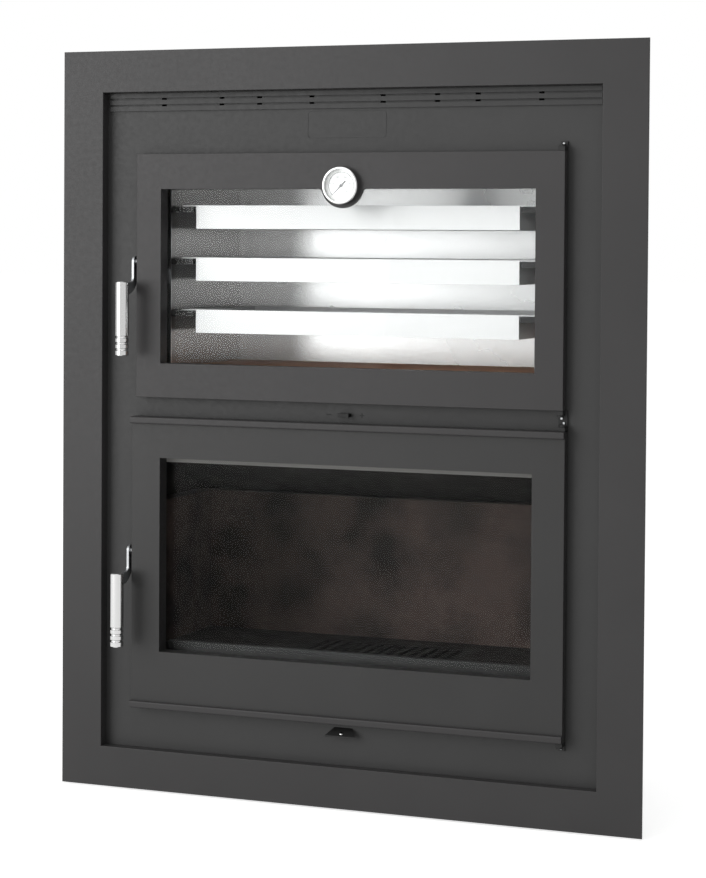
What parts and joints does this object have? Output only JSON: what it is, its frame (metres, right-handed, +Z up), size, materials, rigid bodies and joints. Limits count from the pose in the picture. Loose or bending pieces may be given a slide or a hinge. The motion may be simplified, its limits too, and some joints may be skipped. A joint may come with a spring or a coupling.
{
  "type": "fireplace insert with oven",
  "caption": "Built-in wood-burning fireplace insert with a glazed oven over the firebox, recessed in a flat steel surround, with side-hung doors.",
  "frame": {"origin": "centre of the whole object's box at the level of its feet", "axes": "+Z up, +X to the right, the doors face -Y"},
  "size_m": [0.817, 0.381, 1.002],
  "materials": {
    "surround_paint": "satin heat-proof paint",
    "panel_paint": "satin heat-proof paint",
    "black_paint": "matt black heat-proof paint",
    "door_paint": "satin heat-proof paint",
    "galvanised": "galvanised sheet",
    "shell_steel": "dark heat-proof paint",
    "cast_iron": "cast",
    "refractory": "sooted refractory board",
    "oven_stone": "fired clay",
    "stainless": "brushed",
    "runner_enamel": "black enamel",
    "polished_steel": "polished",
    "zinc": "zinc plated",
    "ceramic_glass": "clear",
    "glass_rope": "woven glass rope",
    "dial_white": "printed white",
    "needle_black": "black"
  },
  "bodies": {
    "insert": {"surround_frame": "surround_paint", "surround_brackets": "panel_paint", "front_panel": "panel_paint", "louvre_bars": "panel_paint", "casing_left": "galvanised", "casing_right": "galvanised", "casing_back": "galvanised", "casing_top": "galvanised", "base_plate": "galvanised", "levelling_feet": "zinc", "shell_left": "shell_steel", "shell_right": "shell_steel", "shell_back": "shell_steel", "shell_top": "shell_steel", "shell_base": "shell_steel", "flue_collar": "shell_steel", "lining_left": "refractory", "lining_right": "refractory", "lining_back": "refractory", "hearth": "refractory", "grate": "cast_iron", "log_retainer": "black_paint", "baffle_plate": "shell_steel", "oven_sleeve": "stainless", "oven_left": "stainless", "oven_right": "stainless", "oven_floor": "stainless", "oven_roof": "stainless", "oven_back": "stainless", "oven_brick": "oven_stone", "tray_runners": "runner_enamel", "latch_keepers": "black_paint", "hinge_brackets": "black_paint", "hinge_pins": "black_paint", "hinge_screws": "zinc"},
    "oven_door": {"oven_door_frame": "door_paint", "oven_door_glass": "ceramic_glass", "oven_door_seals": "glass_rope", "oven_glass_clips": "zinc", "thermometer_case": "polished_steel", "thermometer_dial": "dial_white", "thermometer_lens": "ceramic_glass"},
    "needle": {"thermometer_needle": "needle_black"},
    "oven_handle": {"oven_handle_lever": "zinc", "oven_handle_grip": "polished_steel"},
    "fire_door": {"fire_door_frame": "door_paint", "fire_door_strips": "door_paint", "fire_door_glass": "ceramic_glass", "fire_door_seals": "glass_rope", "fire_glass_clips": "zinc"},
    "fire_handle": {"fire_handle_lever": "zinc", "fire_handle_grip": "polished_steel"},
    "top_tray": {"tray_top": "stainless"},
    "middle_tray": {"tray_middle": "stainless"},
    "bottom_tray": {"tray_bottom": "stainless"},
    "ash_pan": {"ash_drawer": "black_paint"},
    "upper_air_control": {"secondary_air_slide": "black_paint"},
    "lower_air_control": {"primary_air_slide": "black_paint"}
  },
  "joints": [
    {"name": "oven_door_hinge", "type": "hinge", "parent": "insert", "child": "oven_door", "pos_m": [0.296, -0.143, 0.7], "axis": [0, 0, 1], "range_deg": [0, 110]},
    {"name": "thermometer_needle_turn", "type": "hinge", "parent": "oven_door", "child": "needle", "pos_m": [0, -0.1529, 0.8196], "axis": [0, 1, 0], "range_deg": [0, 270]},
    {"name": "oven_handle_lift", "type": "hinge", "parent": "oven_door", "child": "oven_handle", "pos_m": [-0.303, -0.143, 0.718], "axis": [-1, 0, 0], "range_deg": [0, 30]},
    {"name": "fire_door_hinge", "type": "hinge", "parent": "insert", "child": "fire_door", "pos_m": [0.299, -0.143, 0.3], "axis": [0, 0, 1], "range_deg": [0, 110]},
    {"name": "fire_handle_lift", "type": "hinge", "parent": "fire_door", "child": "fire_handle", "pos_m": [-0.309, -0.143, 0.326], "axis": [-1, 0, 0], "range_deg": [0, 30]},
    {"name": "top_tray_slide", "type": "slide", "parent": "insert", "child": "top_tray", "axis": [0, -1, 0], "range_m": [0, 0.115]},
    {"name": "middle_tray_slide", "type": "slide", "parent": "insert", "child": "middle_tray", "axis": [0, -1, 0], "range_m": [0, 0.115]},
    {"name": "bottom_tray_slide", "type": "slide", "parent": "insert", "child": "bottom_tray", "axis": [0, -1, 0], "range_m": [0, 0.115]},
    {"name": "ash_drawer_slide", "type": "slide", "parent": "insert", "child": "ash_pan", "axis": [0, -1, 0], "range_m": [0, 0.2]},
    {"name": "upper_air_slide", "type": "slide", "parent": "insert", "child": "upper_air_control", "axis": [1, 0, 0], "range_m": [-0.005, 0.005]},
    {"name": "lower_air_pull", "type": "slide", "parent": "insert", "child": "lower_air_control", "axis": [0, -1, 0], "range_m": [0, 0.012]}
  ],
  "couplings": [
    {"joint": "top_tray_slide", "follows": "oven_door_hinge", "m_per_rad": 0.058},
    {"joint": "middle_tray_slide", "follows": "oven_door_hinge", "m_per_rad": 0.058},
    {"joint": "bottom_tray_slide", "follows": "oven_door_hinge", "m_per_rad": 0.058},
    {"joint": "ash_drawer_slide", "follows": "fire_door_hinge", "m_per_rad": 0.1}
  ]
}
